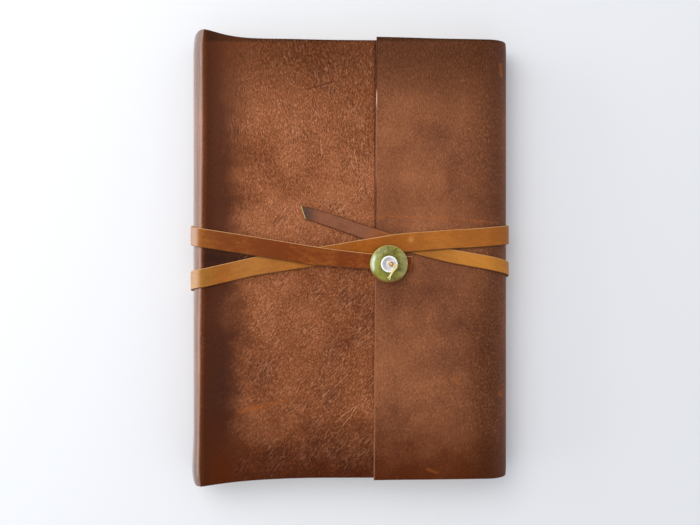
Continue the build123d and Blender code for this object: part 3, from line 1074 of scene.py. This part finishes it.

# Along the flap's edge, from y in the album to the shade of the raw leather there, its pale stretch a
# painted highlight
rawDark, rawTan, rawPaleHighlight = (66, 30, 16), (150, 98, 70), (222, 178, 150)
flapEdgeShades = [
    (-0.155, rawTan), (-0.016, rawTan), (0.018, rawDark), (0.048, rawDark), (0.058, rawTan),
    (0.105, rawTan), (0.109, rawPaleHighlight), (0.115, rawPaleHighlight), (0.119, rawDark), (0.155, rawDark),
]


def coverGrain():
    finish = Finish("cover_leather_grain")
    flat = finish.flat()
    plan = finish.plan()
    bent = finish.warped(plan, 130.0, 0.004)
    x, y, _ = finish.axes(plan)
    backwards, _, _ = finish.axes(flat)
    laidAt = 0 - backwards
    panelPart = finish.rise(laidAt, panelShown - 0.004, panelShown)
    panelPart = panelPart * (1 - finish.rise(laidAt, spineFrom - 0.003, spineFrom + 0.002))
    spinePart = finish.rise(laidAt, spineFrom, spineFrom + 0.003)
    spinePart = spinePart * (1 - finish.rise(laidAt, spineTo, spineTo + 0.01))
    flapPart = finish.rise(laidAt, foldFrom, flapFrom)

    # slow patches, and the zones that they make uneven
    slow = finish.cloud(flat, 15.0, 3.0, 0.55)
    middling = finish.cloud(flat, 62.0, 2.5, 0.55)
    wavy = (middling - 0.5) * 0.03
    lower = finish.rise(slow * 0.2 - y, *zones["lower"])
    lowHalf = 1 - finish.rise(y, *zones["lowHalf"])
    nearSpine = (1 - finish.rise(x + wavy * 0.55, *zones["spine"])) * panelPart
    nearTail = 1 - finish.rise(y + wavy, *zones["tail"])
    nearHead = finish.rise(y + wavy, *zones["head"])
    rightRim = finish.rise(x + wavy * 0.3, *zones["rightRim"]) * flapPart
    besideRim = finish.crest(x + wavy * 0.3, *zones["besideRim"]) * flapPart
    # painted shade on the slope up to the spine's crest and along the crest
    beforeCrest = finish.rise(laidAt, spineFrom - 0.012, spineFrom - 0.003) * panelPart
    crestLine = finish.crest(laidAt, spineFrom - 0.0004, 0.0022)
    headEdge = finish.rise(y, *zones["headEdge"]) * (panelPart + flapPart)
    edgeLine = finish.rise(laidAt, hideLength - 0.0010, hideLength - 0.0005)
    # painted shadow on the panel beside the flap's edge
    shadowBesideEdge = finish.rise(x, cover["flapEdge"] - 0.0009, cover["flapEdge"] - 0.0004) * panelPart

    # pebbles, pores and grain, all upright at the head and slanting at the tail
    def leaning(pattern, vector, turns, stretch, **settings):
        upright, slanted = (pattern(finish.turned(vector, turn, stretch), **settings) for turn in turns)
        return finish.between(lower, upright, slanted)

    shifted = finish.warped(flat, 210.0, 0.0026)
    domes = leaning(finish.cells, shifted, **hide["pebbles"])
    pebbles = finish.rise(domes, 0.0, 0.28)
    pores = finish.rise(finish.cells(shifted, hide["poreScale"]), 0.0, 0.3)
    grain = leaning(finish.cloud, shifted, **hide["grain"]) - 0.5

    # fine wrinkles in bundles, and the drawn creases
    wrinkle = leaning(finish.cloud, finish.warped(flat, 38.0, 0.006), **hide["wrinkles"]) - 0.5
    bundles = finish.cloud(flat, 48.0, 3.0, 0.6) + finish.rise(x, -0.05, 0.015) * 0.05
    quiet = 1 - nearSpine * 0.8  # where the hide is dark and smooth
    strength = (panelPart * 0.9 + flapPart * 0.22 + 0.1) * quiet
    patchy = finish.rise(bundles, 0.43, 0.70) * (1 - flapPart * 0.65) * strength
    folds = 0
    for start, end, depth in creases:
        folds = finish.most(folds, finish.streak(bent, start, end, depth * hide["creaseWidth"]))
    folds = folds * panelPart
    ridges = finish.crest(wrinkle, 0.0, 0.055) * patchy + finish.rise(folds, 0.68, 0.95)
    valleys = finish.crest(wrinkle, 0.10, 0.065) * patchy + finish.crest(folds, 0.42, 0.3) * 0.9
    ridges, valleys = ridges.clamped(), valleys.clamped()
    rough = pebbles * 0.25 + pores * 0.2 + grain * 0.9
    height = (ridges - valleys) * 0.3 + rough * (0.25 + strength * 0.75)

    # what stands up is paler, partly rubbed tops and partly painted highlight, and what lies low is darker,
    # painted shade
    tops = finish.rise(domes + grain * 0.3, 0.20, 0.5) * strength
    paleGrain = (grain * 5.0).clamped() * (0.3 + strength * 0.6) * quiet
    darkGrain = (grain * -5.5).clamped() * (0.35 + strength * 0.6) * quiet
    light = (ridges * 1.2 + tops * 0.4 + paleGrain).clamped()
    hollowShade = (valleys + (1 - pebbles) * strength * 0.6 + darkGrain).clamped()

    # pull-up leather, paler where it is rubbed or bent and darker at the spine and the edges, partly its own
    # tone and partly painted sheen and shade
    # painted sheen: the panel's upper part and the flap's middle are paler
    sheenLift = finish.rise(y, -0.08, 0.03) * panelPart * 0.07 + finish.crest(x, 0.055, 0.03) * flapPart * 0.04
    tone = slow * 0.58 + middling * 0.2 + 0.1 + sheenLift
    panelHide = finish.ramp(tone, (0.36, (118, 60, 32)), (0.5, (152, 87, 50)), (0.62, (178, 109, 70)))
    flapHide = finish.ramp(tone, (0.36, (106, 59, 37)), (0.5, (136, 81, 51)), (0.62, (160, 99, 64)))
    # painted shade at the head, where the sheen falls off
    headMask = nearHead * (0.72 + flapPart * 0.16 - nearSpine * 0.4)
    headShade = finish.mix(flapPart, colour(92, 40, 2), colour(86, 46, 22))
    base = finish.paint(
        finish.mix(flapPart, panelHide, flapHide),
        # darker near the spine, at the tail and at the head: partly the leather's own tone, partly painted
        # shade
        (nearSpine * 0.9, (72, 33, 18)),
        (nearSpine * lowHalf * 0.5, (46, 21, 12)),
        (nearTail * 0.95, (84, 32, 0)),
        (headMask, headShade),
        # painted reflection: a greyish sheen on the fold's rim
        (rightRim * 0.75, (94, 56, 40)),
        (besideRim * (0.34 + lowHalf * 0.34), (72, 31, 2)),
        # painted shade on the slope and the crest before the spine
        (beforeCrest * 0.7, (72, 32, 10)),
        (crestLine * 0.7, (94, 43, 0)),
        (headEdge * 0.55, (38, 18, 2)),
        # painted shadow where the strap crosses the panel by the spine
        (finish.streaks(plan, marks["strapShadow"]) * panelPart * 0.85, (44, 18, 8)),
    )
    # painted shade in the hollows and painted highlight on the pale strokes
    base = finish.mix(hollowShade * 0.75, base, (0.42, 0.36, 0.30, 1.0), "MULTIPLY")
    base = finish.mix(light * 0.55, base, (1.5, 1.42, 1.38, 1.0), "MULTIPLY")
    faint = 0.27 - nearTail * 0.24 - nearHead * 0.14 - nearSpine * 0.16
    rubs = finish.streaks(bent, marks["longRubs"]) * (middling * 2.4 - 0.5).clamped()
    rubs = rubs + finish.streaks(plan, marks["shortRubs"])
    warm = finish.streaks(bent, marks["warmStreak"]) * (middling * 1.8 - 0.3)
    edgeStops = [(at * hide["edgeStretch"] + 0.5, shade) for at, shade in flapEdgeShades]
    # painted reflection: the spine's round gets a pale greyish sheen in fine streaks
    fibres = finish.cloud(finish.scaled(flat, hide["spineStreaks"]), 1.0, 3.0, 0.7)
    spineSheen = finish.mix(finish.rise(fibres, 0.22, 0.78), colour(110, 80, 66), colour(158, 136, 124))
    base = finish.paint(
        base,
        # painted highlights: peach glints on the pale strokes and on the ridges
        (light * faint, (228, 158, 114)),
        (ridges * panelPart * quiet * 0.1, (232, 172, 136)),
        (finish.streaks(plan, marks["scratches"]) * panelPart * 0.75, (60, 24, 10)),
        (rubs * flapPart * 0.8, (172, 92, 36)),
        (warm * panelPart * 0.7, (170, 92, 40)),
        (finish.streaks(plan, marks["paleScuff"]) * panelPart, (190, 150, 140)),
        # the flap's raw cut edge, its pale stretch a painted highlight
        (edgeLine * 0.8, finish.ramp(y * hide["edgeStretch"] + 0.5, *edgeStops)),
        # painted shadow on the panel beside the flap's edge
        (shadowBesideEdge * 0.5, (58, 24, 10)),
        # painted reflection: the pale sheen on the spine
        (spinePart * 0.7, spineSheen),
    )
    return finish.surface(
        Base_Color=base,
        Roughness=0.38 + middling * 0.14 - light * 0.08 - spinePart * 0.16,
        Normal=finish.bump(height, hide["bumpDepth"]),
        Specular_IOR_Level=hide["specular"],
        Coat_Weight=spinePart * 0.9,
        Coat_Roughness=hide["coatRoughness"],
    )


def coverCut():
    finish = Finish("cover_cut_edge")
    place = finish.place()
    patches = finish.cloud(finish.scaled(place, (0, 1, 0)), 26.0, 3.0, 0.6)
    tone = patches * 0.75 + finish.cloud(place, 700.0, 4.0, 0.7) * 0.25
    shade = finish.ramp(tone, (0.4, (92, 48, 28)), (0.5, (150, 98, 70)), (0.62, (206, 160, 132)))
    return finish.surface(Base_Color=shade, Roughness=0.6, Specular_IOR_Level=0.3)


# Along the strap, from its sewn end to its tip: the grain's shade at each place; the pale stops where it
# bends over the spine are a painted sheen
strapBrown, strapHoney, strapTail = (120, 52, 5), (190, 122, 46), (134, 81, 57)
firstSpine, firstFold, middleRun, secondSpine, _, tailRun = legStarts[1:]
strapShades = [
    (0.0, strapBrown),
    (0.09, strapBrown),
    (firstSpine - 0.010, (126, 62, 14)),
    (firstSpine + 0.0038, (140, 78, 20)),
    # painted sheen where the strap bends over the spine
    (firstSpine + 0.0056, (186, 150, 128)),
    (firstSpine + 0.018, (186, 150, 128)),
    (firstFold - 0.016, (164, 98, 34)),
    (middleRun + 0.04, (168, 98, 34)),
    (middleRun + 0.09, (152, 80, 10)),
    (secondSpine - 0.03, (178, 114, 48)),
    (secondSpine - 0.012, (156, 88, 26)),
    (secondSpine + 0.0012, (158, 106, 38)),
    # painted sheen where the strap bends over the spine
    (secondSpine + 0.0030, (198, 157, 118)),
    (secondSpine + 0.018, (198, 157, 118)),
    (tailRun - 0.016, strapHoney),
    (tailRun + 0.022, strapHoney),
    (strapLength - 0.062, (160, 90, 44)),
    (strapLength - 0.046, strapTail),
    (strapLength - 0.010, strapTail),
    (strapLength - 0.002, (62, 52, 50)),
]


def strapCut():
    finish = Finish("strap_cut_edge")
    along, across, _ = finish.axes(finish.flat())
    fibre = finish.cloud(finish.place(), 700.0, 4.0, 0.7)
    # painted highlight on the cut edges facing the head, painted shade on those facing the tail
    pale = finish.mix(fibre, colour(170, 112, 62), colour(216, 166, 112))
    dark = finish.mix(fibre, colour(84, 46, 18), colour(120, 74, 34))
    pastSewnEnd = finish.rise(along, -0.0002, 0.0004)
    shade = finish.paint(
        finish.mix(finish.rise(across, -0.002, 0.003) * pastSewnEnd, dark, pale),
        (finish.rise(along, strapLength - 0.085, strapLength - 0.060), (92, 50, 26)),
        (finish.rise(along, strapLength - 0.0012, strapLength - 0.0002), (206, 176, 112)),
    )
    return finish.surface(Base_Color=shade, Roughness=0.6, Specular_IOR_Level=0.15)


def strapGrain():
    finish = Finish("strap_leather_grain")
    flat = finish.flat()
    along, _, _ = finish.axes(flat)
    fibres = finish.cloud(finish.scaled(flat, (1.0, 2.6, 1.0)), 150.0, 5.0, 0.65)
    specks = finish.cloud(flat, 1000.0, 4.0, 0.75)
    slow = finish.cloud(flat, 24.0, 3.0, 0.6)
    uneven = (fibres * 0.3 + slow * 0.35 + specks * 0.35 - 0.5) * 2.0
    bent = finish.warped(finish.place(), 500.0, 0.0020)
    scuff = finish.starScuff(bent, strap["scuffAt"], strap["scuffReach"])
    shade = finish.paint(
        finish.ramp(along * (1 / strapLength), *((at / strapLength, shade) for at, shade in strapShades)),
        (uneven, (210, 136, 54)),
        (0.08 - uneven, (84, 34, 2)),
        (scuff * 0.24, (226, 172, 104)),
    )
    return finish.surface(
        Base_Color=shade,
        Roughness=0.42 + fibres * 0.2,
        Normal=finish.bump(fibres * 0.5 + specks * 0.3, 0.0001),
        Specular_IOR_Level=0.12,
    )


def speckledGlaze():
    finish = Finish("speckled_glaze")
    place, plan = finish.place(), finish.plan()
    x, y, _ = finish.axes(plan)
    east, north = x - discMiddle.x, y - discMiddle.y
    away = finish.away(plan, discMiddle)
    cloud = finish.cloud(place, 330.0, 5.0, 0.7)
    pool = finish.cloud(place, 150.0, 3.0, 0.6)
    uneven = pool - 0.5
    lime = finish.rise(east * -1.0 - north * 0.35, *disc["limeSide"])
    dusky = finish.rise(north * 0.8 + east * 0.7 + (cloud - 0.5) * 0.02, *disc["duskySide"])
    specks = finish.rise(finish.cloud(place, 1000.0, 2.0, 0.6), 0.50, 0.62)
    # painted sheen: grey-green on the right side
    greySheen = finish.rise(east + uneven * 0.008, *disc["sheenSide"])
    leftSide = finish.rise(east * -1.0 - abs(north - 0.0015) * 0.5, *disc["leftSide"])
    # painted highlight: a white crescent on the left of the rim
    highlightCrescent = finish.crest(away, disc["highlightAt"], 0.0017) * leftSide
    low = finish.rise(north * -1.0 - east * 0.15, *disc["lowSide"])
    rim = finish.rise(away + uneven * 0.0012, *disc["rim"]) * (1 - low)
    lowRim = finish.rise(away + uneven * 0.0016, *disc["lowRim"]) * low
    tone = cloud * 0.6 + pool * 0.4
    shade = finish.paint(
        finish.ramp(tone, (0.38, (92, 86, 14)), (0.5, (130, 124, 28)), (0.62, (160, 156, 58))),
        (lime * 0.4, (164, 178, 70)),
        (specks * (0.3 + dusky * 0.5), (66, 56, 10)),
        # painted sheen: grey-green on the right side
        (greySheen * 0.5, (156, 152, 108)),
        # painted highlight: a white crescent on the left of the rim
        (highlightCrescent * 0.9, (220, 232, 208)),
        (rim * 0.7, (206, 204, 132)),
        (lowRim * 0.9, (120, 66, 14)),
    )
    return finish.surface(
        Base_Color=shade,
        Roughness=0.2,
        Normal=finish.bump(cloud * 0.4 + pool * 0.6, 0.0003),
        Specular_IOR_Level=0.35,
        Coat_Weight=0.3,
        Coat_Roughness=0.06,
    )


def shellWhite():
    finish = Finish("shell_white")
    plan = finish.plan()
    x, y, _ = finish.axes(plan)
    middle = (shellLow + shellHigh) / 2
    away = finish.away(plan, middle)
    bands = finish.cloud(finish.scaled(finish.place(), (1.0, 2.2, 1.0)), 420.0, 3.0, 0.5)
    leftSide = finish.rise((middle.x - x) + (y - middle.y) * 0.5, -0.0008, 0.0026)
    shade = finish.paint(
        finish.ramp(bands, (0.35, (208, 206, 206)), (0.65, (246, 244, 240))),
        # painted shadow: a grey crescent in the dish on the left, under the rim
        (finish.crest(away, shell["valleyShadowAt"], 0.0016) * leftSide * 0.6, (150, 146, 150)),
        (finish.rise(away, 0.0045, 0.0050) * 0.8, (252, 252, 248)),
    )
    return finish.surface(Base_Color=shade, Roughness=0.22, Coat_Weight=0.4, Coat_Roughness=0.1)


def amberGlass():
    finish = Finish("amber_glass")
    plan = finish.plan()
    middle = (beadLow + beadHigh) / 2
    swirl = finish.cloud(finish.place(), 500.0, 2.0, 0.5)
    glint = finish.away(plan, middle + Vector(bead["glintShift"]))
    shade = finish.paint(
        finish.ramp(swirl, (0.35, (192, 116, 8)), (0.65, (226, 158, 26))),
        # painted shade round the bead's edge, then a painted highlight for the glint
        (finish.rise(finish.away(plan, middle), 0.0009, 0.0014) * 0.85, (104, 54, 6)),
        (1 - finish.rise(glint, 0.0002, 0.0007), (255, 240, 200)),
    )
    return finish.surface(
        Base_Color=shade, Roughness=0.15, Specular_IOR_Level=0.35, Coat_Weight=0.3, Coat_Roughness=0.04
    )


def fibrous(name, dark, light, roughness, depth, cloud, stretch=(1, 1, 1), patches=0.0):
    # raw leather, thread, cloth and paper: fine fibres, and slow patches in paper
    finish = Finish(name)
    place = finish.place()
    fibres = finish.cloud(finish.scaled(place, stretch), *cloud)
    tone = fibres * (1 - patches) + finish.cloud(place, 30.0, 3.0, 0.6) * patches
    shade = finish.ramp(tone, (0.3, dark), (0.7, light))
    return finish.surface(Base_Color=shade, Roughness=roughness, Normal=finish.bump(fibres, depth))


def fleshSide():
    return fibrous("leather_flesh_side", (126, 84, 56), (168, 122, 86), 0.9, 0.0002, (900.0, 5.0, 0.7))


def pagePaper(name, dark, light):
    return fibrous(name, dark, light, 0.85, 0.00006, (1200.0, 4.0, 0.6), patches=0.5)


# Lights, camera and floor
studio = {
    "lens": 44.1,
    "cameraPlace": (0.00035, -0.0028, 0.635),
    "daylight": (0.93, 0.95, 1.0, 1.0),
    "daylightStrength": 0.70,
    "floorSize": 4.0,
}
panelLights = {
    "window": {
        "place": (-0.90, 0.12, 0.24), "target": (0, 0, 0.03), "size": (1.4, 0.42), "power": 4.6,
        "shade": (0.95, 0.97, 1.0),
    },
    "sky_panel": {
        "place": (-0.45, 0.45, 1.10), "target": (0, 0, 0), "size": (0.9, 0.9), "power": 6.4,
        "shade": (1.0, 0.99, 0.97),
    },
}


def addPanelLight(name, place, target, size, power, shade):
    data = bpy.data.lights.new(name, "AREA")
    data.shape = "RECTANGLE"
    data.size, data.size_y = size
    data.energy = power
    data.color = shade
    light = addObject(name, data)
    light.location = place
    light.rotation_euler = (Vector(target) - light.location).to_track_quat("-Z", "Y").to_euler()


def addCamera():
    data = bpy.data.cameras.new("camera")
    data.lens = studio["lens"]
    data.sensor_width = 36.0
    data.clip_start = 0.01
    camera = addObject("camera", data)
    camera.location = studio["cameraPlace"]
    bpy.context.scene.camera = camera


def addFloor():
    deselectAll()
    bpy.ops.mesh.primitive_plane_add(size=studio["floorSize"])
    floor = nameActive("floor")
    white = colour(238, 239, 241)
    dress(floor, Finish("pale_floor").surface(Base_Color=white, Roughness=0.9, Specular_IOR_Level=0.1))


def lightWorld():
    world = bpy.data.worlds.new("daylight")
    bpy.context.scene.world = world
    world.use_nodes = True
    background = world.node_tree.nodes["Background"]
    background.inputs["Color"].default_value = studio["daylight"]
    background.inputs["Strength"].default_value = studio["daylightStrength"]


addCamera()
lightWorld()
addFloor()
for name, settings in panelLights.items():
    addPanelLight(name, **settings)
print("Camera, floor and lights placed")

makeCover(coverGrain(), fleshSide(), coverCut())
print("Cover wrapped")
makeStrap(strapGrain(), fleshSide(), strapCut())
print("Strap wound")
makeDisc(speckledGlaze())
makeShell(shellWhite())
makeBead(amberGlass())
makeThread(fibrous("waxed_thread", (246, 214, 128), (255, 246, 190), 0.5, 0.00006, (2600.0, 3.0, 0.6)))
print("Buttons, bead and thread made")
makePages(pagePaper("page_paper", (206, 196, 172), (236, 230, 214)))
endpaper = pagePaper("endpaper", (204, 192, 164), (226, 216, 192))
lining = fibrous("lining_cloth", (196, 188, 168), (226, 220, 204), 0.9, 0.0001, (700.0, 2.0, 0.5), (1, 4, 1))
for name, material in (("front_endpaper", endpaper), ("back_endpaper", endpaper), ("spine_lining", lining)):
    dress(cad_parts[name], material)
print("Pages and papers made")

bpy.context.scene.view_settings.view_transform = "Standard"
